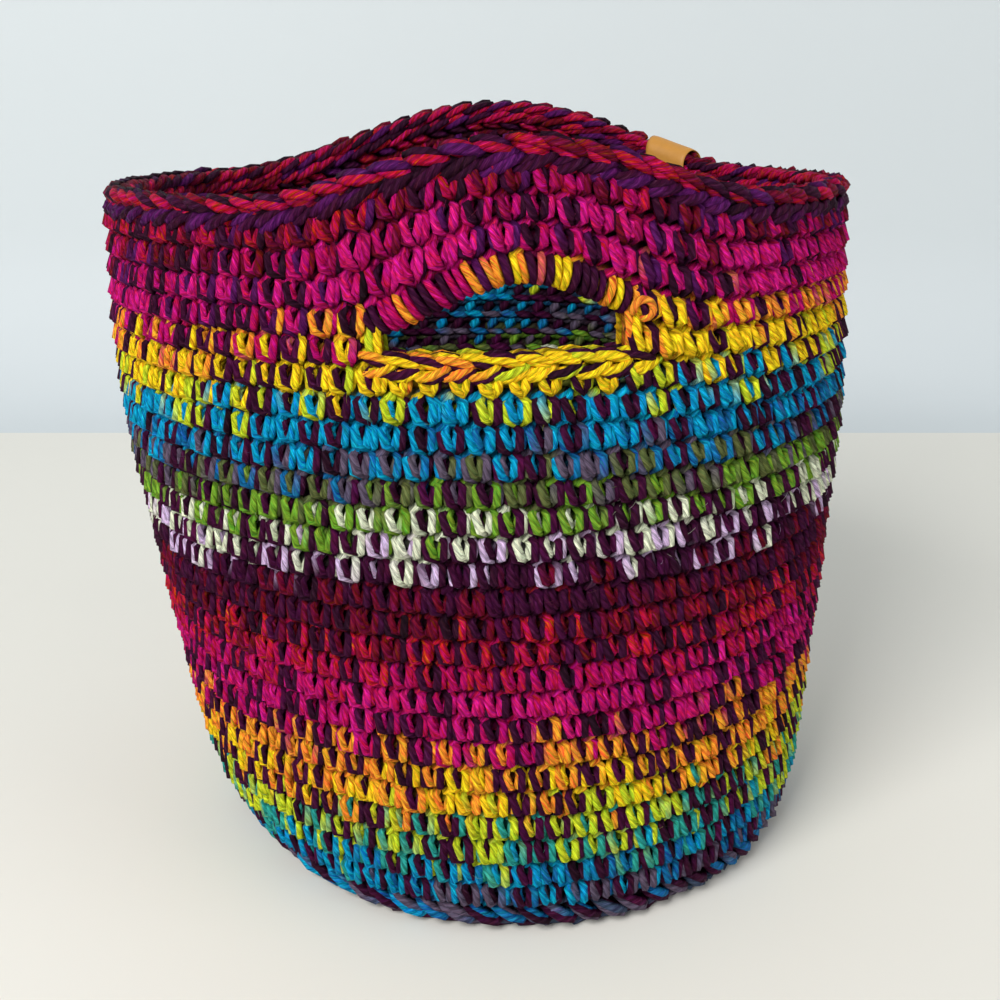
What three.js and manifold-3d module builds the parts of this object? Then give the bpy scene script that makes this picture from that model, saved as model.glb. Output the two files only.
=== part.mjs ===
// A round crochet tote bag: one crocheted body with two hand openings, and a label sewn over its rim.
// Millimetres, +Z up. The front faces -Y. An azimuth is in degrees and turns from the front towards +X.
// A height is measured up the wall of a bag that stands straight, before it leans and tilts.
import * as THREE from "three";
import Module from "manifold-3d";

// Driving dimensions of the wall and base
const rimRadius = 145; // outer radius of the upper wall
const baseRadius = 116; // outer radius where the wall meets the floor
const cornerFlare = 10.5; // how far the rounded bottom corner swings out
const cornerHeight = 14; // over which the corner swings out
const flareHeight = 170; // the wall grows in radius up to here and is straight above
const flareSoftness = 0.05; // share of flareHeight over which the growth fades out
const wallThickness = 9.5; // crest of a ridge outside to crest of a ridge inside
const floorThickness = 9.5;
const soleInset = 6; // the flat sole is smaller than the base radius by this

// Rounds of single crochet, numbered from the bottom
const roundCount = 26;
const turnHeight = 6.3; // middle of the round that turns from the base up into the wall
const roundPitch = 10.1; // from there to the middle of round 1
const pitchLoss = 0.065; // each further step is smaller than the last one by this
const ridgeDepth = 1.7; // groove between two rounds outside
const innerRidgeDepth = 1.3; // groove between two rounds inside

// The braid of two chains along the rim
const rimRise = 12.7; // top of the rim over the middle of the last round
const rimBraidHeight = 10.5;
const rimProud = 0.8; // the lower chain stands out from the wall by this
const rimProudInside = 1.1;

// The two hand openings, each under an arch that lifts the rounds above it
const openingAzimuth = 4.4; // middle of the front opening
const backTurn = 168.6; // the back opening and its arch stand this far round from the front ones
const openingHalfAngle = 15.1;
const openingBluntness = 5; // the higher, the squarer the ends of an opening
const archAzimuth = 7; // highest point of the front arch
const archLift = 17.8;
const backRimExtra = 10.4; // the rim rises this much more over the back opening
const archSpread = 24; // the first round over the opening is back on its level this far out, in degrees
const rimSpread = 37; // and the rim this far out
const backRimSpread = 55.5; // and the rim at the back this far out
const wrapHalfHeight = 5.6; // half the height of the round that is worked over the arch
const wrapRound = 23; // the number of that round, and the opening takes the place of the one below it
const sillRise = 10.25; // top of the sill's braid over the middle of the round that carries it
const sillBraidHeight = 9.4;
const sillBraidProud = 1.6;
const sillHalfAngle = 17.6; // the sill braid runs into the wall beside the opening

// The soft bag leans and is not quite round
const leanHeight = 250; // the shares below are counted to this height
const leanX = 12.2; // the base stands this far towards +X of the rim
const leanY = -3;
const tiltFront = 2.35; // the upper rounds rise towards the front by this
const tiltRight = 1.3;
const sideSag = 1.2; // and sink by this at both sides
const ovalBase = 1.062; // depth over width at the base
const ovalTop = 0.984;
const diagonalBulge = 0.0108;
const footX = 3.3; // the foot of the wall stands this much further towards +X
const footY = -3.4;
const footHeight = 35; // over which the foot swings back
const tuckDepth = 6; // the bottom corner is pushed in by this at one place
const tuckAzimuth = -55;
const tuckSpread = 38;
const rimTuckDepth = 3.5; // the rim is pushed in by this at the left
const rimTuckAzimuth = -88;
const rimTuckSpread = 60;
const rimTuckHeight = 205; // the push starts here and is full at the rim

// The label and its sewing thread
const labelAzimuth = 137.6;
const labelWidth = 24;
const labelLeg = 19; // from the top of the rim to the lower end of each face
const labelThickness = 1;
const labelBend = 6; // height of the rounded fold
const clearance = 0.3;
const threadRadius = 0.6;
const stitchWidth = 11; // between the two holes of the stitch
const stitchDepth = 15.5; // below the top of the rim

// Fineness
const wallSides = 40;
const openingEnd = 0.998; // the opening's last sections stand this share of the way out
const openingSteps = 12;
const braidSides = 8;
const labelSteps = 3;
const bendSteps = 6;

const wasm = await Module();
wasm.setup();

const radians = THREE.MathUtils.degToRad;

// The smaller of two numbers, with a rounded change from one to the other.
function softMin(a, b, softness) {
  return (
    -softness * Math.log(Math.exp(-a / softness) + Math.exp(-b / softness))
  );
}

// Outer radius of the wall at a height: a rounded corner, then a straight flare up to the upper wall.
function wallRadius(height) {
  const corner = cornerFlare * (1 - Math.exp(-height / cornerHeight));
  const flare = rimRadius - baseRadius - cornerFlare;
  return (
    baseRadius + corner + flare * softMin(height / flareHeight, 1, flareSoftness)
  );
}

// Where a point at an azimuth, radius and height lies on the leaning bag.
function place(azimuth, radius, height) {
  const angle = radians(azimuth);
  const share = height / leanHeight;
  const low = Math.max(0, 1 - share);
  const oval = ovalTop + (ovalBase - ovalTop) * low;
  const tuck = tuckDepth * archShare(azimuth, tuckSpread, tuckAzimuth);
  const rimTuck = rimTuckDepth * archShare(azimuth, rimTuckSpread, rimTuckAzimuth);
  const standing =
    radius -
    tuck * Math.exp(-height / cornerHeight) -
    rimTuck * THREE.MathUtils.smoothstep(height, rimTuckHeight, rimTop);
  const r = standing * (1 + diagonalBulge * Math.sin(2 * angle));
  const rise =
    tiltRight * Math.sin(angle) +
    tiltFront * Math.cos(angle) -
    sideSag * Math.sin(angle) ** 2;
  const foot = Math.exp(-height / footHeight);
  return new THREE.Vector3(
    r * Math.sin(angle) + leanX * low + footX * foot,
    -oval * r * Math.cos(angle) + leanY * low + footY * foot,
    height + share * rise,
  );
}

// The height of a round's middle on the level wall. The turning round counts as round 0.
function roundHeight(round) {
  const lost = (pitchLoss * round * Math.max(round - 1, 0)) / 2;
  return turnHeight + roundPitch * round - lost;
}

// Heights and radii that follow from the driving dimensions
const rimTop = roundHeight(roundCount) + rimRise;
const sillTop = roundHeight(wrapRound - 2) + sillRise;
const rimThickness = wallThickness + rimProud + rimProudInside;
const rimOutside = wallRadius(rimTop) + rimProud;
// The middles of the wall's flat sides come nearer the axis than its corners.
const rimInside = (rimOutside - rimThickness) * Math.cos(Math.PI / wallSides);

// One at the middle of an arch and none beyond its spread, as a raised cosine.
function archShare(azimuth, spread, middle) {
  const turned = THREE.MathUtils.euclideanModulo(azimuth - middle + 180, 360) - 180;
  if (Math.abs(turned) >= spread) return 0;
  return 0.5 + 0.5 * Math.cos((Math.PI * turned) / spread);
}

// How far a round, or the rim as the round after the last, is lifted over the two openings.
function lift(azimuth, round) {
  if (round < wrapRound) return 0;
  const share = (round - wrapRound) / (roundCount + 1 - wrapRound);
  const spread = archSpread + (rimSpread - archSpread) * share;
  const backSpread = archSpread + (backRimSpread - archSpread) * share;
  const front = archShare(azimuth, spread, archAzimuth);
  const back = archShare(azimuth, backSpread, archAzimuth + backTurn);
  return archLift * front + (archLift + backRimExtra * share) * back;
}

// The height of a round's middle at an azimuth. A half counts as the groove above a round.
function heightAt(azimuth, round) {
  const below = Math.floor(round);
  const above = Math.ceil(round);
  const lower = roundHeight(below) + lift(azimuth, below);
  const upper = roundHeight(above) + lift(azimuth, above);
  return (lower + upper) / 2;
}

// The top of the rim at an azimuth.
function rimHeight(azimuth) {
  return rimTop + lift(azimuth, roundCount + 1);
}

// A closed surface over a row of rings that all have as many points. The two ends are closed by fans,
// unless the row runs round and meets itself.
function skin(rings, meetsItself = false) {
  const count = rings[0].length;
  const points = rings.flat();
  const faces = [];
  const last = meetsItself ? rings.length : rings.length - 1;
  for (let j = 0; j < last; j++) {
    const next = (j + 1) % rings.length;
    for (let i = 0; i < count; i++) {
      const a = j * count + i;
      const b = j * count + ((i + 1) % count);
      const c = next * count + ((i + 1) % count);
      const d = next * count + i;
      faces.push(a, b, c, a, c, d);
    }
  }
  const fan = (ring, start, turned) => {
    const centre = ring.reduce(
      (sum, point) => sum.add(point),
      new THREE.Vector3(),
    );
    points.push(centre.divideScalar(count));
    const pole = points.length - 1;
    for (let i = 0; i < count; i++) {
      const a = start + i;
      const b = start + ((i + 1) % count);
      faces.push(...(turned ? [pole, a, b] : [pole, b, a]));
    }
  };
  if (!meetsItself) {
    fan(rings[0], 0, false);
    fan(rings.at(-1), (rings.length - 1) * count, true);
  }
  return { points, faces };
}

// The solid of a closed surface, with its faces turned outwards.
function solid({ points, faces }) {
  const vertProperties = new Float32Array(points.flatMap((p) => p.toArray()));
  const build = (list) =>
    new wasm.Manifold(
      new wasm.Mesh({
        numProp: 3,
        vertProperties,
        triVerts: new Uint32Array(list),
      }),
    );
  const made = build(faces);
  return made.volume() > 0 ? made : build([...faces].reverse());
}

// Azimuths of the wall's sides.
function wallAzimuths() {
  return Array.from({ length: wallSides }, (_, i) => (360 * i) / wallSides);
}

// A ring round the bag. Its height follows the azimuth, and its radius is the wall's plus an offset.
function wallRing(heightOf, offset) {
  return wallAzimuths().map((azimuth) => {
    const height = heightOf(azimuth);
    const level = Math.min(height, rimTop);
    return place(azimuth, wallRadius(level) + offset, height);
  });
}

// The outside of the bag from the sole up: the turning round, then a ridge for each round.
function outerRings() {
  const rings = [
    wallRing(() => 0, -soleInset),
    wallRing(() => turnHeight / 3, -ridgeDepth),
  ];
  for (let round = 0; round <= roundCount; round++) {
    rings.push(wallRing((azimuth) => heightAt(azimuth, round), 0));
    if (round < roundCount)
      rings.push(
        wallRing((azimuth) => heightAt(azimuth, round + 0.5), -ridgeDepth),
      );
  }
  return rings;
}

// The rim's section as offsets from the wall and shares of the braid's height below the rim's top: a groove,
// the lower chain, a groove, the upper chain, the top, and the rounded edge inside.
function rimRings() {
  const section = [
    [-ridgeDepth, -1],
    [rimProud, -0.76],
    [-rimProud / 3, -0.5],
    [0, -0.24],
    [rimProud - rimThickness / 2, 0],
    [rimProud - 0.85 * rimThickness, -0.24],
    [rimProud - rimThickness, -0.6],
  ];
  return section.map(([offset, share]) =>
    wallRing(
      (azimuth) => rimHeight(azimuth) + share * rimBraidHeight,
      offset,
    ),
  );
}

// The inside of the bag from the rim down to the floor, with a ridge for each round.
function innerRings() {
  const rings = [];
  for (let round = roundCount; round >= 1; round--) {
    rings.push(
      wallRing((azimuth) => heightAt(azimuth, round), -wallThickness),
    );
    if (round > 1)
      rings.push(
        wallRing(
          (azimuth) => heightAt(azimuth, round - 0.5),
          innerRidgeDepth - wallThickness,
        ),
      );
  }
  rings.push(wallRing(() => floorThickness, -wallThickness - soleInset / 2));
  return rings;
}

// A hand opening as the room that is cut out of the wall: from the sill up to the underside of the arch,
// with blunt rounded ends.
function openingRoom(turn) {
  const reach = 2 * wallThickness;
  const power = openingBluntness;
  const rings = Array.from({ length: openingSteps + 1 }, (_, i) => {
    const u = openingEnd * (-1 + (2 * i) / openingSteps);
    const azimuth = openingAzimuth + turn + u * openingHalfAngle;
    const arch = heightAt(azimuth, wrapRound) - wrapHalfHeight;
    const fullness = (1 - Math.abs(u) ** power) ** (1 / power);
    const half = ((arch - sillTop) / 2) * fullness;
    const middle = (arch + sillTop) / 2;
    const radius = wallRadius(sillTop);
    return [
      place(azimuth, radius - reach, middle - half),
      place(azimuth, radius + reach, middle - half),
      place(azimuth, radius + reach, middle + half),
      place(azimuth, radius - reach, middle + half),
    ];
  });
  return solid(skin(rings));
}

// The chunky chain along the sill of an opening, as an oval bar that follows the wall.
function sillBraid(turn) {
  const middle = wallRadius(sillTop) + (sillBraidProud - wallThickness) / 2;
  const halfDepth = (wallThickness + sillBraidProud) / 2;
  const halfHeight = sillBraidHeight / 2;
  const flat = 1 / Math.cos(Math.PI / braidSides);
  const rings = Array.from({ length: openingSteps + 1 }, (_, i) => {
    const u = -1 + (2 * i) / openingSteps;
    const azimuth = openingAzimuth + turn + u * sillHalfAngle;
    return Array.from({ length: braidSides }, (_, s) => {
      const around = (2 * Math.PI * (s + 0.5)) / braidSides;
      const radius = middle + halfDepth * Math.cos(around);
      const height = sillTop - halfHeight + flat * halfHeight * Math.sin(around);
      return place(azimuth, radius, height);
    });
  });
  return solid(skin(rings));
}

// The crocheted bag in one piece.
function bagSolid() {
  const shell = solid(skin([...outerRings(), ...rimRings(), ...innerRings()]));
  return [0, backTurn].reduce(
    (bag, turn) => bag.subtract(openingRoom(turn)).add(sillBraid(turn)),
    shell,
  );
}

// The label before its two holes: a strip folded over the rim. Each ring runs round the strip's own edges,
// and the rings follow one another up the outside, over the rim and down the inside.
function labelBlank() {
  const outer = rimOutside + clearance;
  const inner = rimInside - clearance;
  const middle = (outer + inner) / 2;
  const half = (outer - inner) / 2;
  const halfAngle = THREE.MathUtils.radToDeg(labelWidth / 2 / rimOutside);
  const across = Array.from(
    { length: labelSteps + 1 },
    (_, i) => labelAzimuth + halfAngle * (-1 + (2 * i) / labelSteps),
  );
  const point = (azimuth, station, extra) => {
    const top = rimHeight(azimuth) + clearance;
    const bend = Math.PI * Math.min(Math.max(station, 0), 1);
    const height =
      station < 0 || station > 1
        ? top - labelLeg
        : top - labelBend + (labelBend + extra) * Math.sin(bend);
    return place(azimuth, middle + (half + extra) * Math.cos(bend), height);
  };
  const stations = Array.from(
    { length: bendSteps + 3 },
    (_, i) => (i - 1) / bendSteps,
  );
  const rings = stations.map((station) => [
    ...across.map((azimuth) => point(azimuth, station, labelThickness)),
    ...across.toReversed().map((azimuth) => point(azimuth, station, 0)),
  ]);
  return solid(skin(rings));
}

// The sewing thread: one closed loop, in through a hole of the label and the wall and out through the other.
function threadLoop(radius) {
  const height = rimHeight(labelAzimuth) - stitchDepth;
  const beside = labelThickness + clearance + threadRadius + clearance;
  const outer = rimOutside + beside;
  const inner = rimInside - beside;
  const halfAngle = THREE.MathUtils.radToDeg(stitchWidth / 2 / rimOutside);
  const low = labelAzimuth - halfAngle;
  const high = labelAzimuth + halfAngle;
  const corners = [
    [low, inner],
    [low, outer],
    [high, outer],
    [high, inner],
  ];
  const path = corners.map(([azimuth, r]) => place(azimuth, r, height));
  const middle = path
    .reduce((sum, p) => sum.add(p), new THREE.Vector3())
    .divideScalar(path.length);
  const rings = path.map((corner) => {
    const outwards = corner.clone().sub(middle).setZ(0);
    const before = outwards.clone().normalize();
    return Array.from({ length: braidSides }, (_, s) => {
      const around = (2 * Math.PI * s) / braidSides;
      return corner
        .clone()
        .addScaledVector(before, Math.SQRT2 * radius * Math.cos(around))
        .add(new THREE.Vector3(0, 0, radius * Math.sin(around)));
    });
  });
  return solid(skin(rings, true));
}

// A named mesh of a solid.
function mesh(name, made, color, roughness) {
  const { numProp, numVert, vertProperties, triVerts } = made.getMesh();
  const position = new Float32Array(numVert * 3);
  for (let i = 0; i < numVert; i++)
    position.set(vertProperties.subarray(i * numProp, i * numProp + 3), 3 * i);
  const geometry = new THREE.BufferGeometry()
    .setAttribute("position", new THREE.BufferAttribute(position, 3))
    .setIndex(new THREE.BufferAttribute(triVerts, 1));
  geometry.computeVertexNormals();
  const material = new THREE.MeshStandardMaterial({
    color,
    roughness,
    metalness: 0,
    flatShading: true,
  });
  const piece = new THREE.Mesh(geometry, material);
  piece.name = name;
  return piece;
}

const threadHoles = threadLoop(threadRadius + clearance);
const tote = new THREE.Group();
tote.add(
  mesh("crochet_body", bagSolid().subtract(threadHoles), "#8a1f5c", 0.95),
  mesh("label", labelBlank().subtract(threadHoles), "#c39a4a", 0.6),
  mesh("label_thread", threadLoop(threadRadius), "#5b3a24", 0.8),
);

// The origin is under the middle of the bag's box, on the surface that it stands on.
const box = new THREE.Box3().setFromObject(tote);
tote.position.set(-(box.min.x + box.max.x) / 2, -(box.min.y + box.max.y) / 2, 0);

export default tote;
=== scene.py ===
"""A round crochet tote bag, worked in single crochet from three strands of yarn held together.

Lengths are in millimetres until a mesh is made. An azimuth is in degrees and turns from the front (-Y)
towards +X. A round's number counts from the bottom: 0 turns from the base up into the wall, and the
rounds of the base have negative numbers.
"""

import logging
import math
from dataclasses import dataclass, field, replace
from enum import Enum
from typing import Callable, Iterable

import bpy
import numpy as np
from numpy.typing import NDArray
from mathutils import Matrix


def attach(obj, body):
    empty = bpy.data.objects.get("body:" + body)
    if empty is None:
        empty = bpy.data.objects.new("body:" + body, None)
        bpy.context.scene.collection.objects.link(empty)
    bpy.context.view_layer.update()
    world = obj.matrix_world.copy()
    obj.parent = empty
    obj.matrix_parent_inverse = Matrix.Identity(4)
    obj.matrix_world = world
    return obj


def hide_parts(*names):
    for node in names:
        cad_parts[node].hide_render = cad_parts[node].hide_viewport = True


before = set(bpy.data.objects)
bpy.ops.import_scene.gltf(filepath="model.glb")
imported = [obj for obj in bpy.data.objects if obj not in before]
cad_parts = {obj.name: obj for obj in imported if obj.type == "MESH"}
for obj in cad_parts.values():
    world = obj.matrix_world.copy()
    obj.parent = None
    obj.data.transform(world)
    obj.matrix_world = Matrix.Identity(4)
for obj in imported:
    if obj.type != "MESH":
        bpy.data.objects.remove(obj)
log = logging.getLogger("tote")

METRE = 0.001
Array = NDArray[np.float64]


def unit(vectors: Array) -> Array:
    """Returns the vectors, each divided by its length."""
    return vectors / np.maximum(np.linalg.norm(vectors, axis=-1, keepdims=True), 1e-12)


def linear(colour: Iterable[float]) -> Array:
    """Turns a colour as a screen shows it, 0 to 255, into the linear values that a shader takes.

    Args:
        colour: red, green and blue, from 0 to 255.

    Returns:
        Red, green and blue, from 0 to 1. Each is ((c + 0.055) / 1.055) to the power 2.4.
    """
    share = np.asarray(colour, dtype=float) / 255
    return np.where(share < 0.04045, share / 12.92, ((share + 0.055) / 1.055) ** 2.4)


def smooth_step(values: Array, low: float, high: float) -> Array:
    """Returns 0 below low, 1 above high and the smooth curve 3t^2 - 2t^3 between them."""
    share = np.clip((values - low) / (high - low), 0, 1)
    return share * share * (3 - 2 * share)


@dataclass(frozen=True)
class BagForm:
    """The shape that all rounds follow. It has the driving dimensions of the CAD solids."""

    rim_radius: float = 145.0
    base_radius: float = 116.0
    corner_flare: float = 10.5
    corner_height: float = 14.0
    flare_height: float = 170.0
    flare_softness: float = 0.05
    sole_inset: float = 6.0
    wall_thickness: float = 9.5
    round_count: int = 26
    turn_height: float = 6.3
    round_pitch: float = 10.1
    pitch_loss: float = 0.065
    base_pitch: float = 9.4
    rim_rise: float = 12.7
    rim_proud: float = 0.8
    rim_thickness: float = 11.4
    opening_azimuth: float = 4.4
    opening_half_angle: float = 15.1
    back_turn: float = 168.6
    arch_azimuth: float = 7.0
    arch_lift: float = 17.8
    back_rim_extra: float = 10.4
    arch_spread: float = 24.0
    rim_spread: float = 37.0
    back_rim_spread: float = 55.5
    wrap_half_height: float = 5.6
    wrap_round: int = 23
    sill_rise: float = 10.25
    sill_braid_height: float = 9.4
    sill_half_angle: float = 17.6
    lean_height: float = 250.0
    lean_x: float = 12.2
    lean_y: float = -3.0
    tilt_front: float = 2.35
    tilt_right: float = 1.3
    side_sag: float = 1.2
    oval_base: float = 1.062
    oval_top: float = 0.984
    diagonal_bulge: float = 0.0108
    foot_x: float = 3.3
    foot_y: float = -3.4
    foot_height: float = 35.0
    tuck_depth: float = 6.0
    tuck_azimuth: float = -55.0
    tuck_spread: float = 38.0
    rim_tuck_depth: float = 3.5
    rim_tuck_azimuth: float = -88.0
    rim_tuck_spread: float = 60.0
    rim_tuck_height: float = 205.0
    tuck_radii: tuple[float, float] = (60.0, 100.0)
    turn_bend: float = 1.6
    turn_lift: float = 0.4
    normal_step: float = 0.25
    wave: float = 0.3
    shift: tuple[float, float] = (-2.649, 0.6941)

    @property
    def mm_per_degree(self) -> float:
        """How long a degree is along the rim."""
        return math.radians(self.rim_radius)

    @property
    def rim_top(self) -> float:
        """Top of the rim where no arch lifts it."""
        return float(self.round_height(np.array(self.round_count))) + self.rim_rise

    @property
    def sill_top(self) -> float:
        """Top of the braid along the lower edge of a hand opening."""
        return float(self.round_height(np.array(self.wrap_round - 2))) + self.sill_rise

    def wall_radius(self, height: Array) -> Array:
        """Outer radius of the wall.

        The corner is cornerFlare (1 - e^(-height / cornerHeight)), and the flare above it grows evenly
        up to flareHeight and then stops, with a soft minimum -s log(e^(-a/s) + e^(-1/s)).
        """
        corner = self.corner_flare * (1 - np.exp(-height / self.corner_height))
        soft = self.flare_softness
        grown = -soft * np.logaddexp(-height / self.flare_height / soft, -1 / soft)
        return self.base_radius + corner + (self.rim_radius - self.base_radius - self.corner_flare) * grown

    def profile_point(self, way: Array) -> tuple[Array, Array]:
        """The outline of half a cut through the bag.

        Above turnHeight it is the wall, with way as its height. Below -soleInset it is the flat sole,
        whose radius is baseRadius + way. Between them it is a Bezier curve of the second degree.

        Args:
            way: how far up the outline, in mm.

        Returns:
            The radius and the height there.
        """
        low, high = -self.sole_inset, self.turn_height
        start = self.base_radius + low
        end = float(self.wall_radius(np.array(high)))
        t = np.clip((way - low) / (high - low), 0, 1)
        bend = end - self.turn_bend
        radius = (1 - t) ** 2 * start + 2 * t * (1 - t) * bend + t * t * end
        height = 2 * t * (1 - t) * self.turn_lift + t * t * high
        on_wall = way > high
        radius = np.where(on_wall, self.wall_radius(np.maximum(way, 0)), radius + np.minimum(way - low, 0))
        return radius, np.where(on_wall, way, height)

    def arch_share(self, azimuth: Array, spread: Array | float, middle: float) -> Array:
        """One at the middle of an arch and none beyond its spread: 0.5 + 0.5 cos(pi turned / spread)."""
        turned = np.abs((azimuth - middle + 180) % 360 - 180)
        return np.where(turned < spread, 0.5 + 0.5 * np.cos(np.pi * turned / spread), 0)

    def lift(self, azimuth: Array, number: Array) -> Array:
        """How far a round above the wrapped one, or the rim as round 27, is lifted over the openings."""
        share = (number - self.wrap_round) / (self.round_count + 1 - self.wrap_round)
        spread = self.arch_spread + (self.rim_spread - self.arch_spread) * share
        back_spread = self.arch_spread + (self.back_rim_spread - self.arch_spread) * share
        front = self.arch_share(azimuth, spread, self.arch_azimuth)
        back = self.arch_share(azimuth, back_spread, self.arch_azimuth + self.back_turn)
        return self.arch_lift * front + (self.arch_lift + self.back_rim_extra * share) * back

    def round_height(self, number: Array) -> Array:
        """Middle of a round on the level wall: each step up is smaller than the last by pitchLoss."""
        lost = self.pitch_loss * number * np.maximum(number - 1, 0) / 2
        climb = self.round_pitch * number - lost
        return self.turn_height + np.where(number < 0, self.base_pitch * number, climb)

    def row_height(self, azimuth: Array, number: Array) -> Array:
        """Middle of a round, lifted over the openings. The round beside an opening is lifted by half."""
        lifted = self.lift(azimuth, np.maximum(number, self.wrap_round))
        share = np.clip((number - (self.wrap_round - 2)) / 2, 0, 1)
        return self.round_height(number) + lifted * np.floor(share * 2) / 2 + self.wobble(azimuth, number)

    def wobble(self, azimuth: Array, number: Array) -> Array:
        """Small unevenness of the rounds, as two waves round the bag that change from round to round.

        It is wave (sin(7 azimuth + 1.9 number) + 0.7 sin(13 azimuth - number)), and fades out near the
        base and the openings.
        """
        angle = np.radians(azimuth)
        waves = np.sin(7 * angle + 1.9 * number) + 0.7 * np.sin(13 * angle - number)
        fade = np.clip(number / 2, 0, 1) * np.clip((self.wrap_round - 3 - number) / 3, 0, 1)
        return self.wave * waves * fade

    def height_at(self, azimuth: Array, number: Array) -> Array:
        """Height of a round's number that need not be whole, straight between the rounds beside it."""
        below = np.floor(number)
        share = number - below
        lower = self.row_height(azimuth, below)
        return lower + share * (self.row_height(azimuth, below + 1) - lower)

    def lay(self, azimuth: Array, way: Array, out: Array) -> Array:
        """Lays points on the leaning bag.

        A point goes out from the outline along the outline's normal, which comes from two points of the
        outline a step below and above it.

        Args:
            azimuth: in degrees.
            way: how far up the outline, in mm.
            out: how far outside the crest of the stitches, in mm.

        Returns:
            The points in the row frame, in mm.
        """
        step = self.normal_step
        radius_low, height_low = self.profile_point(way - step)
        radius_high, height_high = self.profile_point(way + step)
        run, climb = radius_high - radius_low, height_high - height_low
        length = np.hypot(run, climb)
        radius, height = self.profile_point(way)
        return self.place(azimuth, radius + out * climb / length, height - out * run / length)

    def place(self, azimuth: Array, radius: Array, height: Array) -> Array:
        """Where an azimuth, radius and height lie on the leaning bag, in the row frame.

        The radius grows with sin(2 azimuth) and is pushed in at the two tucks. The cross-section is an
        oval, the base and its foot are moved to the side, and the upper rounds are tilted.
        """
        angle = np.radians(azimuth)
        share = height / self.lean_height
        low = np.maximum(0, 1 - share)
        oval = self.oval_top + (self.oval_base - self.oval_top) * low
        tuck = self.tuck_depth * self.arch_share(azimuth, self.tuck_spread, self.tuck_azimuth)
        fade = np.exp(-np.maximum(height, 0) / self.corner_height) * smooth_step(radius, *self.tuck_radii)
        rim_share = self.arch_share(azimuth, self.rim_tuck_spread, self.rim_tuck_azimuth)
        pushed = self.rim_tuck_depth * rim_share * smooth_step(height, self.rim_tuck_height, self.rim_top)
        r = (radius - tuck * fade - pushed) * (1 + self.diagonal_bulge * np.sin(2 * angle))
        tilt = self.tilt_right * np.sin(angle) + self.tilt_front * np.cos(angle)
        rise = tilt - self.side_sag * np.sin(angle) ** 2
        foot = np.exp(-np.maximum(height, 0) / self.foot_height)
        x = r * np.sin(angle) + self.lean_x * low + self.foot_x * foot + self.shift[0]
        y = -oval * r * np.cos(angle) + self.lean_y * low + self.foot_y * foot + self.shift[1]
        return np.stack(np.broadcast_arrays(x, y, height + share * rise), axis=-1)

    def rim_height(self, azimuth: Array) -> Array:
        """Top of the rim at an azimuth."""
        return self.rim_top + self.lift(azimuth, np.array(self.round_count + 1))

    @property
    def opening_middles(self) -> tuple[float, float]:
        """Azimuths of the middles of the front and the back hand opening."""
        return self.opening_azimuth, self.opening_azimuth + self.back_turn

    def off_opening(self, azimuth: Array, half_angle: float) -> Array:
        """True where an azimuth is further than half_angle from the middle of both hand openings."""
        turned = [np.abs((azimuth - middle + 180) % 360 - 180) for middle in self.opening_middles]
        return np.minimum(*turned) > half_angle


class Dye(Enum):
    """The colours of the yarn, as a screen shows them, 0 to 255."""

    SLATE = (62, 74, 100)
    BLUE = (16, 104, 164)
    TURQUOISE = (0, 148, 200)
    TEAL = (44, 160, 150)
    LIME = (198, 216, 40)
    YELLOW = (250, 212, 26)
    ORANGE = (250, 158, 44)
    MAGENTA = (184, 6, 92)
    PINK = (208, 20, 114)
    CRIMSON = (178, 8, 52)
    RED = (192, 10, 38)
    WINE = (108, 2, 32)
    PLUM = (60, 4, 44)
    VIOLET = (84, 16, 86)
    GREY = (96, 82, 102)
    LAVENDER = (214, 184, 222)
    WHITE = (224, 230, 200)
    GREEN = (112, 160, 44)
    OLIVE = (92, 102, 56)


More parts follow.
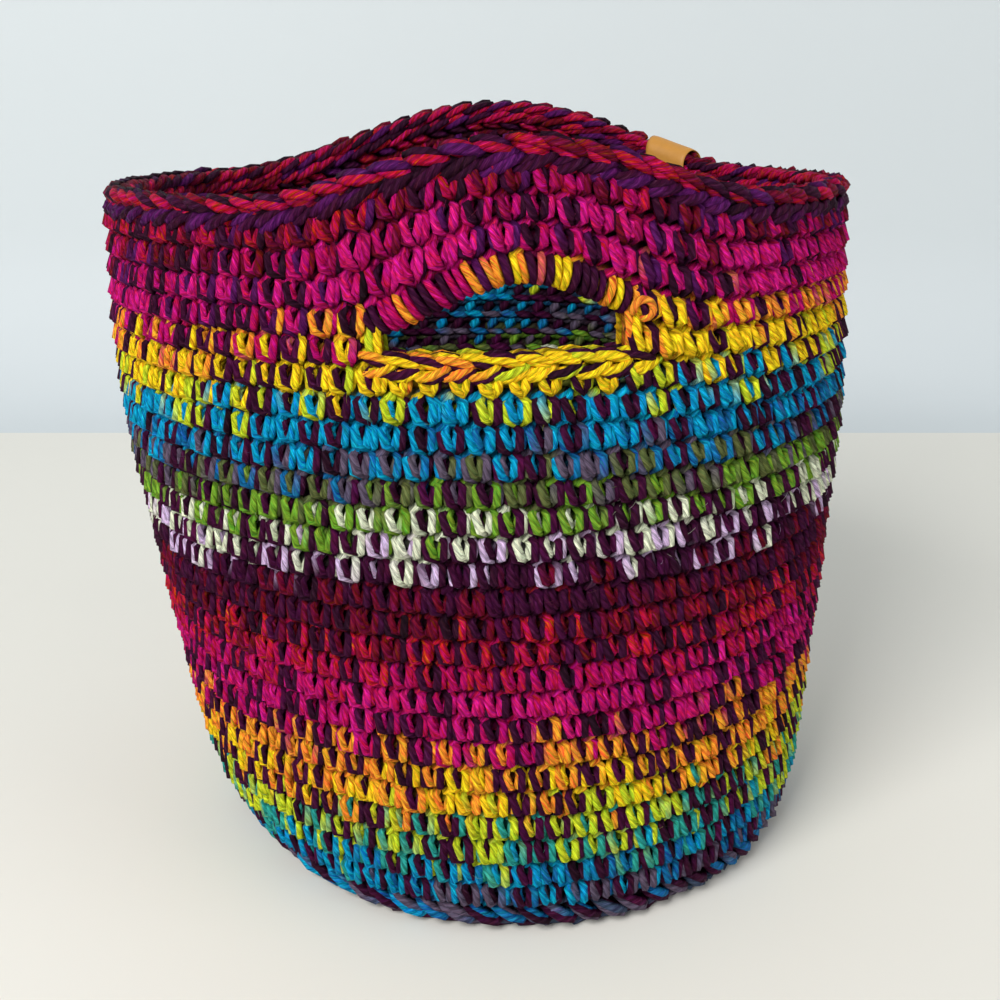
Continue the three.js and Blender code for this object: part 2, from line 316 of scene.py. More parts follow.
@dataclass(frozen=True)
class Dyeing:
    """How the two rainbow strands change colour from round to round, and the plain one does not."""

    run: tuple[tuple[float, Dye], ...] = (
        (-13.0, Dye.CRIMSON),
        (-10.5, Dye.PLUM),
        (-8.5, Dye.LAVENDER),
        (-7.0, Dye.GREEN),
        (-5.5, Dye.GREY),
        (-4.0, Dye.OLIVE),
        (-2.6, Dye.GREY),
        (-1.0, Dye.SLATE),
        (0.2, Dye.GREY),
        (0.8, Dye.BLUE),
        (1.7, Dye.TURQUOISE),
        (2.3, Dye.TEAL),
        (3.0, Dye.LIME),
        (3.7, Dye.TEAL),
        (4.3, Dye.LIME),
        (4.9, Dye.ORANGE),
        (5.6, Dye.YELLOW),
        (6.2, Dye.ORANGE),
        (7.0, Dye.ORANGE),
        (7.5, Dye.MAGENTA),
        (8.6, Dye.PINK),
        (9.4, Dye.MAGENTA),
        (10.4, Dye.CRIMSON),
        (11.0, Dye.RED),
        (11.8, Dye.WINE),
        (12.8, Dye.WINE),
        (13.5, Dye.PLUM),
        (13.9, Dye.PLUM),
        (14.3, Dye.LAVENDER),
        (15.1, Dye.WHITE),
        (15.5, Dye.WHITE),
        (15.9, Dye.GREEN),
        (16.4, Dye.GREEN),
        (17.0, Dye.OLIVE),
        (17.8, Dye.GREY),
        (18.3, Dye.BLUE),
        (18.8, Dye.TURQUOISE),
        (20.0, Dye.TURQUOISE),
        (20.6, Dye.LIME),
        (21.2, Dye.YELLOW),
        (22.0, Dye.YELLOW),
        (22.6, Dye.ORANGE),
        (23.2, Dye.MAGENTA),
        (24.4, Dye.PINK),
        (25.2, Dye.MAGENTA),
        (25.9, Dye.WINE),
        (27.0, Dye.CRIMSON),
        (27.6, Dye.CRIMSON),
        (28.5, Dye.WINE),
    )
    strand_phase: tuple[float, float] = (0.42, -0.5)
    drift: float = 0.78
    side_drift: float = 0.68
    back_drift: float = 0.2
    unevenness: float = 0.28
    purity: float = 0.3
    violet_rounds: tuple[float, float] = (22.4, 23.4)
    violet_chance: tuple[float, float] = (0.2, 0.9)
    plum_unevenness: float = 0.25
    darkest: float = 0.002

    def colours(self, number: Array, azimuth: Array, strand: Array, chance: Array) -> Array:
        """Colours along the yarn.

        The place in the run is number - drift sin(azimuth) + sideDrift sin(azimuth)^2 + backDrift
        (1 - cos(azimuth)) / 2 + the strand's phase + chance. The colour changes quickly, half way between
        two stops, so that most of the yarn is pure. Strand 2 is plum, with some violet near the rim.

        Args:
            number: the round's number, which need not be whole.
            azimuth: in degrees.
            strand: 0, 1 or 2.
            chance: normal random numbers that shift a stitch's place in the run.

        Returns:
            Linear red, green and blue.
        """
        phase = np.take(np.array([*self.strand_phase, 0.0]), strand)
        angle = np.radians(azimuth)
        sideways = self.side_drift * np.sin(angle) ** 2 - self.drift * np.sin(angle)
        turned = self.back_drift * (1 - np.cos(angle)) / 2 + sideways
        at = number + turned + phase + self.unevenness * chance
        stops = np.array([stop for stop, _ in self.run])
        table = np.array([linear(dye.value) for _, dye in self.run])
        index = np.interp(at, stops, np.arange(len(stops)))
        below = np.minimum(index.astype(int), len(stops) - 2)
        share = smooth_step(index - below, self.purity, 1 - self.purity)[..., None]
        rainbow = table[below] * (1 - share) + table[below + 1] * share
        plum = linear(Dye.PLUM.value) * (1 + self.plum_unevenness * chance[..., None])
        violet = smooth_step(chance, *self.violet_chance) * smooth_step(number, *self.violet_rounds)
        plain = plum + violet[..., None] * (linear(Dye.VIOLET.value) - plum)
        return np.where((strand == 2)[..., None], np.maximum(plain, self.darkest), rainbow)


@dataclass
class Strands:
    """Centre lines of strands that all have as many points, with what each point carries."""

    points: Array
    outward: Array
    radius: Array
    # How far below the crest each point lies; it sets the painted shade.
    depth: Array
    colour: Array
    sides: int = 5

    @property
    def triangles(self) -> int:
        """Number of triangles of the tubes and their two ends."""
        count, rings = self.radius.shape
        return count * (2 * self.sides * (rings - 1) + 2 * (self.sides - 2))


class YarnPiece:
    """One mesh of many strands, with its dyes and painted shade, its yarn coordinates and its bake map.

    START_STEP and START_RANGE, in mm, set where along the yarn each strand starts. The rest are shares of
    a strand's cell in the bake map: the margins round the tube, and the size and inset of its two ends.
    """

    START_STEP, START_RANGE = 13.7, 997
    SIDE_MARGIN, END_MARGIN = 0.06, 0.12
    DISC_WIDTH, DISC_HEIGHT, DISC_INSET = 0.3, 0.04, 0.06

    def __init__(self, name: str, groups: list[Strands]) -> None:
        """Keeps the name and the groups of strands, without empty groups."""
        self.name = name
        self.groups = [group for group in groups if len(group.points)]

    @staticmethod
    def rings(strands: Strands) -> tuple[Array, Array]:
        """Vertices of the tubes: centre + radius (cos(turn) normal + sin(turn) side) on each ring.

        Returns:
            The vertices and their depths below the crest, as (strands, rings, sides) arrays.
        """
        along = unit(np.gradient(strands.points, axis=1))
        side = unit(np.cross(along, strands.outward))
        normal = np.cross(side, along)
        turn = np.arange(strands.sides) * 2 * np.pi / strands.sides
        arm = (
            np.cos(turn)[:, None] * normal[:, :, None, :] + np.sin(turn)[:, None] * side[:, :, None, :]
        ) * strands.radius[:, :, None, None]
        facing = np.einsum("srjk,srk->srj", arm, strands.outward)
        return strands.points[:, :, None, :] + arm, strands.depth[:, :, None] - facing

    @staticmethod
    def faces(count: int, rings: int, sides: int) -> tuple[Array, Array]:
        """Corner indices of the tubes' quads and of their end faces.

        Returns:
            (strands, rings - 1, sides, 4) and (strands, 2, sides) arrays of vertex numbers.
        """
        s, r, j = np.meshgrid(np.arange(count), np.arange(rings - 1), np.arange(sides), indexing="ij")
        k = (j + 1) % sides
        start = (s * rings + r) * sides
        quads = np.stack([start + j, start + k, start + sides + k, start + sides + j], axis=-1)
        first = np.arange(count)[:, None] * rings * sides + np.arange(sides)
        ends = np.stack([first[:, ::-1], first + (rings - 1) * sides], axis=1)
        return quads, ends

    @classmethod
    def coordinates(
        cls, strands: Strands, first_cell: int, columns: int
    ) -> tuple[Array, Array, Array, Array]:
        """Yarn coordinates and bake map of a group's corners.

        The yarn coordinates are the share of a turn round the strand, and millimetres along it. The bake
        map gives each strand a cell of its own in a square grid, with its ends above and below. Each
        strand's length starts at a value of its own, so that no two look alike.

        Returns:
            Yarn and bake coordinates of the quads, then those of the ends, as arrays that end in 2.
        """
        count, rings = strands.radius.shape
        sides = strands.sides
        steps = np.linalg.norm(np.diff(strands.points, axis=1), axis=-1)
        start = ((first_cell + np.arange(count)) * cls.START_STEP % cls.START_RANGE)[:, None]
        travelled = start + np.concatenate([np.zeros((count, 1)), np.cumsum(steps, axis=1)], axis=1)
        r = np.arange(rings - 1)[None, :, None, None] + np.array([0, 0, 1, 1])
        j = np.arange(sides)[None, None, :, None] + np.array([0, 1, 1, 0])
        shape = (count, rings - 1, sides, 4)
        around = np.broadcast_to(j / sides, shape)
        along = np.broadcast_to(travelled[np.arange(count)[:, None, None, None], r], shape)
        yarn = np.stack([around, along], axis=-1)
        cell = first_cell + np.arange(count)
        corner = np.stack([cell % columns, cell // columns], axis=-1)
        column = cls.SIDE_MARGIN + (1 - 2 * cls.SIDE_MARGIN) * around
        row = cls.END_MARGIN + (1 - 2 * cls.END_MARGIN) * r / (rings - 1)
        inside = np.stack([column, np.broadcast_to(row, shape)], axis=-1)
        bake = (corner[:, None, None, None, :] + inside) / columns
        turn = np.arange(sides) * 2 * np.pi / sides
        disc = np.stack([0.5 + cls.DISC_WIDTH * np.cos(turn), cls.DISC_HEIGHT * np.sin(turn)], axis=-1)
        discs = np.stack([disc[::-1] + [0, cls.DISC_INSET], disc + [0, 1 - cls.DISC_INSET]])
        bake_ends = (corner[:, None, None, :] + discs) / columns
        far = np.stack([travelled[:, 0], travelled[:, -1]], axis=1)[:, :, None]
        yarn_ends = np.stack(np.broadcast_arrays(np.array(0.5), np.repeat(far, sides, axis=2)), axis=-1)
        return yarn, bake, yarn_ends, bake_ends

    def build(self, material: bpy.types.Material, painted_shade: "PaintedShade") -> bpy.types.Object:
        """Makes the mesh, dresses it and lets it ride on the bag in place of its solid."""
        total = sum(len(group.points) for group in self.groups)
        columns = math.ceil(math.sqrt(total))
        places, dyes, corners, sizes, yarns, bakes = [], [], [], [], [], []
        offset = cell = 0
        for group in self.groups:
            vertices, depth = self.rings(group)
            # Painted shade: the dye is darkened where the strand lies deep in between other strands.
            colour = group.colour[:, :, None, :] * painted_shade.at(depth)[..., None]
            quads, ends = self.faces(*group.radius.shape, group.sides)
            yarn, bake, yarn_ends, bake_ends = self.coordinates(group, cell, columns)
            places.append(vertices.reshape(-1, 3))
            dyes.append(colour.reshape(-1, 3))
            corners += [quads.reshape(-1) + offset, ends.reshape(-1) + offset]
            sizes += [np.full(quads.size // 4, 4), np.full(ends.size // group.sides, group.sides)]
            yarns += [yarn.reshape(-1, 2), yarn_ends.reshape(-1, 2)]
            bakes += [bake.reshape(-1, 2), bake_ends.reshape(-1, 2)]
            offset += vertices.size // 3
            cell += len(group.points)
        mesh = bpy.data.meshes.new(self.name)
        fill_mesh(mesh, np.concatenate(places), np.concatenate(corners), np.concatenate(sizes))
        add_map(mesh, "Yarn", np.concatenate(yarns))
        add_map(mesh, "OFBake", np.concatenate(bakes))
        # The Dye attribute holds the dye with the painted shade multiplied in.
        add_colours(mesh, "Dye", np.concatenate(dyes))
        piece = bpy.data.objects.new(self.name, mesh)
        bpy.context.scene.collection.objects.link(piece)
        mesh.materials.append(material)
        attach(piece, "root")
        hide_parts("crochet_body")
        triangles = sum(group.triangles for group in self.groups)
        log.info("%s: %d strands, %d triangles", self.name, total, triangles)
        return piece


def fill_mesh(mesh: bpy.types.Mesh, places: Array, corners: Array, sizes: Array) -> None:
    """Puts vertices, given in mm, and smooth faces into an empty mesh.

    Args:
        mesh: the empty mesh.
        places: the vertices, one row each.
        corners: the vertex numbers of all faces, one after another.
        sizes: how many corners each face has.
    """
    mesh.vertices.add(len(places))
    mesh.vertices.foreach_set("co", (places * METRE).astype(np.float32).ravel())
    mesh.loops.add(len(corners))
    mesh.loops.foreach_set("vertex_index", corners.astype(np.int32))
    mesh.polygons.add(len(sizes))
    starts = np.concatenate([[0], np.cumsum(sizes)[:-1]])
    mesh.polygons.foreach_set("loop_start", starts.astype(np.int32))
    mesh.polygons.foreach_set("use_smooth", np.ones(len(sizes), dtype=bool))
    mesh.update(calc_edges=True)


def add_map(mesh: bpy.types.Mesh, name: str, values: Array) -> None:
    """Adds a UV map with one pair of values for each face corner."""
    layer = mesh.uv_layers.new(name=name)
    layer.uv.foreach_set("vector", values.astype(np.float32).ravel())


def add_colours(mesh: bpy.types.Mesh, name: str, colours: Array) -> None:
    """Adds a colour attribute with one linear colour for each vertex."""
    attribute = mesh.color_attributes.new(name=name, type="FLOAT_COLOR", domain="POINT")
    full = np.concatenate([colours, np.ones((len(colours), 1))], axis=1)
    attribute.data.foreach_set("color", full.astype(np.float32).ravel())


@dataclass(frozen=True)
class PaintedShade:
    """Painted shade: how the yarn's colour darkens where it goes in between other strands."""

    darkest: float = 0.3
    near: float = 0.5
    far: float = 3.9
    thickness: float = 9.5

    def at(self, depth: Array) -> Array:
        """Painted shade factor: one near either face of the wall, falling to the darkest value inside it.
        """
        covered = np.minimum(depth, self.thickness - depth)
        return 1 - (1 - self.darkest) * smooth_step(covered, self.near, self.far)


@dataclass(frozen=True)
class Bend:
    """The way that a bundle takes within one stitch, as a row of points.

    across is in stitches, up is in rounds or in mm, as the user of the bend says, and out is in mm.
    wide is how far the strands spread to the sides, and taper how thick they are.
    """

    across: tuple[float, ...]
    up: tuple[float, ...]
    out: tuple[float, ...]
    wide: tuple[float, ...]
    taper: tuple[float, ...]
    twist: float = 1.0


V_LEGS = Bend(
    across=(-0.14, -0.36, -0.24, 0.03, 0.21, 0.30, 0.08),
    up=(0.58, 0.25, -0.17, -0.52, -0.17, 0.25, 0.58),
    out=(-5.2, -1.9, -0.6, -4.4, -0.7, -2.0, -5.2),
    wide=(0.8, 1.25, 1.3, 0.6, 1.3, 1.25, 0.8),
    taper=(0.85, 1.2, 1.3, 1.0, 1.3, 1.2, 0.85),
    twist=2.0,
)
V_STUB = Bend(
    across=(-0.24, -0.30, -0.20, 0.03, 0.14, 0.22, 0.18),
    up=(0.24, 0.08, -0.16, -0.47, -0.16, 0.08, 0.24),
    out=(-5.0, -2.6, -1.8, -3.2, -1.9, -2.6, -5.0),
    wide=(0.8, 1.0, 1.1, 0.8, 1.1, 1.0, 0.8),
    taper=(0.7, 1.0, 1.15, 0.95, 1.15, 1.0, 0.7),
    twist=1.6,
)
FRONT_LOOP = Bend(
    across=(0.20, 0.38, 0.58, 0.74),
    up=(-0.66, -0.58, -0.46, -0.34),
    out=(-5.0, -2.9, -2.7, -4.8),
    wide=(0.0, 0.0, 0.0, 0.0),
    taper=(0.9, 1.45, 1.4, 0.8),
)
INNER_BAR = Bend(
    across=(-0.56, -0.22, 0.22, 0.56),
    up=(0.16, 0.24, 0.32, 0.40),
    out=(-6.2, -7.7, -7.7, -6.2),
    wide=(0.0, 0.0, 0.0, 0.0),
    taper=(1.0, 1.8, 1.8, 1.0),
)
INNER_LEG = Bend(
    across=(-0.24, -0.10, 0.08, 0.24),
    up=(0.10, -0.12, -0.36, -0.58),
    out=(-6.0, -7.2, -7.2, -6.2),
    wide=(0.0, 0.0, 0.0, 0.0),
    taper=(1.2, 2.1, 2.1, 1.2),
)
RIM_UPPER = Bend(
    across=(-0.68, -0.36, 0.0, 0.36, 0.68),
    up=(1.7, 1.5, 0.3, -1.2, -1.9),
    out=(-2.8, -0.5, 0.2, -0.5, -2.8),
    wide=(0.8, 1.0, 1.15, 1.0, 0.8),
    taper=(0.8, 1.1, 1.2, 1.1, 0.8),
    twist=1.2,
)
RIM_LOWER = replace(RIM_UPPER, up=tuple(-up for up in RIM_UPPER.up))
RIM_INSIDE = replace(RIM_UPPER, up=(1.2, 1.0, 0.2, -0.8, -1.3), out=(2.0, 0.4, 0.0, 0.4, 2.0))
TURN_LEAF = Bend(
    across=(-0.70, -0.38, 0.0, 0.38, 0.70),
    up=(0.42, 0.34, 0.06, -0.26, -0.42),
    out=(-3.8, -1.0, 0.0, -0.8, -3.4),
    wide=(0.8, 1.2, 1.4, 1.2, 0.8),
    taper=(0.9, 1.4, 1.55, 1.4, 0.9),
    twist=1.2,
)
SILL_UPPER = Bend(
    across=(-0.90, -0.52, -0.05, 0.45, 0.90),
    up=(1.9, 3.0, 2.5, 0.9, -0.7),
    out=(-3.6, -0.7, 0.1, -0.5, -3.4),
    wide=(0.8, 1.0, 1.1, 1.0, 0.7),
    taper=(0.8, 1.1, 1.2, 1.1, 0.8),
    twist=1.4,
)
SILL_LOWER = Bend(
    across=(-0.75, -0.38, 0.08, 0.58, 1.00),
    up=(-2.3, -3.1, -2.4, -0.7, 0.9),
    out=(-3.6, -0.9, 0.0, -0.5, -3.4),
    wide=(0.8, 1.0, 1.1, 1.0, 0.7),
    taper=(0.8, 1.1, 1.2, 1.1, 0.8),
    twist=1.4,
)


@dataclass(frozen=True)
class Handwork:
    """How uneven the stitches are, each as the spread of a normal random number.

    reach, climb, wide and thick are shares of their own value, place is in stitches and out in mm. The
    rest are for the dyes: by stitch, by strand, and from one end of a strand to the other.
    """

    reach: float = 0.06
    place: float = 0.035
    climb: float = 0.04
    out: float = 0.3
    wide: float = 0.08
    thick: float = 0.06
    stitch_dye: float = 0.6
    strand_dye: float = 0.8
    dye_slope: float = 1.6


@dataclass(frozen=True)
class LooseFibre:
    """Sizes of the loose fibres in mm, how uneven they are, and the painted highlight that lifts their
    dye.
    """

    radius: float = 0.06
    length: float = 3.4
    rise: float = 1.0
    length_spread: float = 0.3
    place_spread: float = 1.6
    way_spread: float = 2.2
    rise_spread: float = 0.4
    bow: float = 0.62
    taper: tuple[float, float, float] = (1.0, 0.9, 0.6)
    dye_spread: float = 0.6
    pale: float = 0.06
    gain: float = 1.1


@dataclass
class Crochet:
    """Common sizes of the yarn and the gauge, and the ways to lay strands along the form."""

    form: BagForm
    dyeing: Dyeing
    seed: int = 7
    strand_radius: float = 1.2
    bundle_radius: float = 0.95
    gauge: float = 9.42
    slant: float = 0.2
    floor_gap: float = 0.1
    # Darkens the loops inside the wall and the rim, as painted shade.
    core_painted_shade: float = 0.45
    handwork: Handwork = Handwork()
    loose: LooseFibre = LooseFibre()
    chance: np.random.Generator = field(init=False)

    def __post_init__(self) -> None:
        """Starts the seeded random numbers."""
        self.chance = np.random.default_rng(self.seed)

    def lattice(self, number: int) -> tuple[Array, float]:
        """Azimuths of the stitches of a round, and their pitch in degrees.

        The round's circumference is divided by the gauge. Each round starts a little further towards
        the right, as single crochet that is worked in a spiral does.
        """
        way = self.form.round_height(np.array(float(number)))
        radius = float(self.form.profile_point(way)[0])
        count = max(6, round(2 * math.pi * radius / self.gauge))
        pitch = 360 / count
        azimuth = (np.arange(count) + self.slant * number) * pitch - 180
        return (azimuth + 180) % 360 - 180, pitch

    def lay(
        self, azimuth: Array, way: Array, out: Array, radius: Array, colour: Array, sides: int = 5
    ) -> Strands:
        """Lays centre lines on the bag and gives them what a mesh needs.

        Args:
            azimuth: of each point, as (strands, points).
            way: how far up the outline each point is.
            out: how far outside the crest of the stitches each point is.
            radius: of the strand at each point.
            colour: linear colours, as (strands, points, 3).
            sides: how many sides the tube has.

        Returns:
            The strands, in the row frame.
        """
        points = self.form.lay(azimuth, way, out)
        outward = unit(self.form.lay(azimuth, way, out + 1) - points)
        points[..., 2] = np.maximum(points[..., 2], radius + self.floor_gap)
        return Strands(points, outward, radius, -out, colour, sides)

    def bundles(
        self,
        bend: Bend,
        azimuth: Array,
        pitch: float,
        height: Callable[[Array, Array], Array],
        number: Array | float,
        strands: tuple[int, ...] = (0, 1, 2),
        turn: tuple[float, float] = (0.0, 2.0),
        sides: int = 5,
        out: float = 0.0,
        kinds: int = 3,
    ) -> list[Strands]:
        """Lays a bundle of strands along a bend in every stitch.

        Each strand lies at centre + bundleRadius (wide cos(turn) side + sin(turn) normal), an even share
        of a turn from the next one. Every stitch is moved, turned and dyed a little by chance.

        Args:
            bend: the way within one stitch.
            azimuth: of the stitches.
            pitch: of the stitches, in degrees.
            height: gives the way up the outline for azimuths and the bend's up values.
            number: of the round, which sets the dyes.
            strands: which of the three strands the bundle has, from 0 to 2.
            turn: middle and spread of the first strand's angle, in radians. 0 is sideways.
            sides: how many sides the tubes have.
            out: how far the whole bend is moved outwards, in mm.
            kinds: how many kinds of strand change places from stitch to stitch, 1 for none.

        Returns:
            One group for each strand.
        """
        count, points, hand = len(azimuth), len(bend.across), self.handwork
        push = self.chance.normal(0, 1, (4, count, 1))
        reach = np.array(bend.across) * (1 + hand.reach * push[3])
        at = azimuth[:, None] + (reach + hand.place * push[0]) * pitch
        way = height(at, np.array(bend.up) * (1 + hand.climb * push[1]))
        away = np.array(bend.out) + out + hand.out * push[2]
        share = np.linspace(-0.5, 0.5, points)
        angle = turn[0] + turn[1] * self.chance.uniform(-1, 1, (count, 1)) + bend.twist * share
        wide = np.array(bend.wide) * (1 + hand.wide * push[1])
        step = 2 * math.pi / max(len(strands), 2)
        middle = self.lay(at, way, away, np.ones(at.shape), np.ones((*at.shape, 3)))
        along = unit(np.gradient(middle.points, axis=1))
        side = unit(np.cross(along, middle.outward))
        normal = np.cross(side, along)
        stitch = self.chance.normal(0, 1, (count, 1))
        swap = self.chance.integers(0, kinds, (count, 1))
        spread = self.bundle_radius if len(strands) > 1 else 0.0
        groups = []
        for place, strand in enumerate(strands):
            own = self.chance.normal(0, 1, (2, count, 1))
            across = wide * np.cos(angle + place * step) * spread
            up = np.sin(angle + place * step) * spread
            thick = self.strand_radius * np.array(bend.taper) * (1 + hand.thick * own[0])
            chance = hand.stitch_dye * stitch + hand.strand_dye * own[1]
            chance = chance + hand.dye_slope * share * np.sign(own[0])
            kind = (strand + swap + 0 * at.astype(int)) % 3
            colour = self.dyeing.colours(number + 0 * at, at, kind, chance)
            lines = middle.points + across[..., None] * side + up[..., None] * normal
            lines[..., 2] = np.maximum(lines[..., 2], thick + self.floor_gap)
            groups.append(Strands(lines, middle.outward, thick, middle.depth - up, colour, sides))
        return groups

    def fibres(
        self, azimuth: Array, height: Callable[[Array, Array], Array], number: float, out: float = -0.8
    ) -> Strands:
        """Fine loose fibres, one for each azimuth, each a short bow that stands off the yarn.

        Args:
            azimuth: of the stitches.
            height: gives the way up the outline for azimuths and a rise in mm.
            number: of the round, which sets the dyes.
            out: where the fibres start, in mm outside the crest.

        Returns:
            One group of strands with three sides.
        """
        count, loose, degree = len(azimuth), self.loose, self.form.mm_per_degree
        draw = self.chance.normal(0, 1, (5, count, 1))
        share = np.array([0.0, 0.5, 1.0])
        direction = self.chance.uniform(0, 2 * math.pi, (count, 1))
        length = loose.length * (1 + loose.length_spread * draw[0])
        sideways = loose.place_spread * draw[1] + share * length * np.cos(direction)
        at = azimuth[:, None] + sideways / degree
        way = height(at, loose.way_spread * draw[2] + share * length * np.sin(direction))
        rise = loose.rise * (1 + loose.rise_spread * draw[3])
        away = out + rise * np.sin(math.pi * share * loose.bow)
        radius = loose.radius * np.array(loose.taper) * np.ones((count, 1))
        kind = self.chance.integers(0, 3, (count, 1)) + 0 * at.astype(int)
        colour = self.dyeing.colours(number + 0 * at, at, kind, loose.dye_spread * draw[4] + 0 * at)
        # The fibres are drawn paler and lighter than their dye, as a painted highlight of fuzz that
        # catches the light.
        return self.lay(at, way, away + 0 * at, radius, loose.pale + loose.gain * colour, 3)


@dataclass
class Fabric(Crochet):
    """The plain rounds of single crochet: V-shaped legs, front loops, and what shows inside."""

    core_radius: float = 2.7
    core_out: float = -5.0
    stub_half_angle: float = 14.6
    stub_dye: float = 0.45
    fibre_share: float = 0.8
    opening_margin: float = 1.2
    core_margin: float = 0.6
    core_unevenness: float = 0.1
    core_wave: float = 2.4
    core_steps: int = 40
    loop_dye: float = -0.8
    bar_dye: float = 0.3
    turn_dye: float = 0.4
    turn_twist: tuple[float, float] = (-0.3, 1.0)
    knot_way: float = -113.4
    knot_radius: float = 3.4
    knot_points: int = 13

    def stitches(self, number: int) -> tuple[Array, float]:
        """Azimuths of a round's plain stitches, without those that an opening replaces, and the pitch."""
        azimuth, pitch = self.lattice(number)
        if number in (self.form.wrap_round - 1, self.form.wrap_round):
            edge = self.form.opening_half_angle + self.opening_margin
            azimuth = azimuth[self.form.off_opening(azimuth, edge)]
        return azimuth, pitch

    def one_round(self, number: int) -> list[Strands]:
        """The legs of each stitch, the front loop of the round below, and two strands each inside."""
        azimuth, pitch = self.stitches(number)

        def height(at: Array, up: Array) -> Array:
            """Way up the outline, with up as a share of a round."""
            return self.form.height_at(at, number + up)

        whole = self.form.off_opening(azimuth, self.stub_half_angle) | (number != self.form.wrap_round - 2)
        around = (0.0, math.pi)
        sides = 5 if number >= 0 else 4
        if number in (-1, 0):
            dye, twist = number + self.turn_dye, self.turn_twist
            leaves = self.bundles(TURN_LEAF, azimuth, pitch, height, dye, turn=twist)
            inside = self.bundles(INNER_BAR, azimuth, pitch, height, number, (0,), sides=4)
            return [*leaves, *inside]
        return [
            *self.bundles(V_LEGS, azimuth[whole], pitch, height, number, turn=around, sides=sides),
            *self.bundles(V_STUB, azimuth[~whole], pitch, height, number + self.stub_dye, turn=around),
            *self.bundles(FRONT_LOOP, azimuth, pitch, height, number + self.loop_dye, (0,), kinds=2),
            *self.bundles(INNER_BAR, azimuth, pitch, height, number + self.bar_dye, (0,), sides=4),
            *self.bundles(INNER_LEG, azimuth, pitch, height, number, (0,), sides=4),
            *self.round_fibres(number, azimuth),
        ]

    def round_fibres(self, number: int, azimuth: Array) -> list[Strands]:
        """Loose fibres outside a round of the wall, at a share of its stitches."""
        if number < 0:
            return []

        def rise(at: Array, up: Array) -> Array:
            """Way up the outline, with up in mm above the middle of the round."""
            return self.form.height_at(at, np.full(at.shape, float(number))) + up

        picked = self.chance.uniform(0, 1, len(azimuth)) < self.fibre_share
        return [self.fibres(azimuth[picked], rise, float(number))]

    def knot(self) -> list[Strands]:
        """The tight ring that the base starts from, which closes its middle."""
        at = np.linspace(-180, 180, self.knot_points)[None, :]
        colour = linear(Dye.WINE.value) * np.ones((*at.shape, 3))
        radius = np.full(at.shape, self.knot_radius)
        way = np.full(at.shape, self.knot_way)
        return [self.lay(at, way, -radius, radius, colour, 6)]

    def cores(self, number: int) -> list[Strands]:
        """The loops that run inside the wall along the top and the middle of a round, as two rings."""
        _, pitch = self.lattice(number)
        whole = np.arange(-180.0, 180.0 + 2 * pitch, 2 * pitch).clip(max=180.0)[None, :]
        edge = self.form.opening_half_angle + self.core_margin
        front, back = self.form.opening_middles
        start = np.array([[front + edge], [back + edge]])
        end = np.array([[back - edge], [front + 360 - edge]])
        broken = start + (end - start) * np.linspace(0, 1, self.core_steps)
        groups = []
        for level in (number, number + 0.5):
            at = broken if self.form.wrap_round - 2 < level <= self.form.wrap_round else whole
            uneven = self.core_unevenness * np.sin(np.arange(at.shape[1]) * self.core_wave)
            radius = self.core_radius * (1 + uneven) * np.ones(at.shape)
            kind = self.chance.integers(0, 3, at.shape)
            # Painted shade: the loops inside the wall take their round's dyes, darkened because they lie
            # in shade.
            colour = self.dyeing.colours(level + 0 * at, at, kind, 0 * at) * self.core_painted_shade
            way = self.form.height_at(at, np.full(at.shape, level))
            groups.append(self.lay(at, way, np.full(at.shape, self.core_out), radius, colour, 4))
        return groups

    def rounds(self, numbers: Iterable[int]) -> list[Strands]:
        """All strands of several rounds."""
        return [part for n in numbers for part in (*self.one_round(n), *self.cores(n))]


@dataclass(frozen=True)
class ChainLeg:
    """One leg of the rim's chain. dye is in rounds, turn in radians and out in mm."""

    bend: Bend
    upper: bool
    dye: float
    turn: float
    out: float
    strands: tuple[int, ...] = (0, 1, 2)
    kinds: int = 1


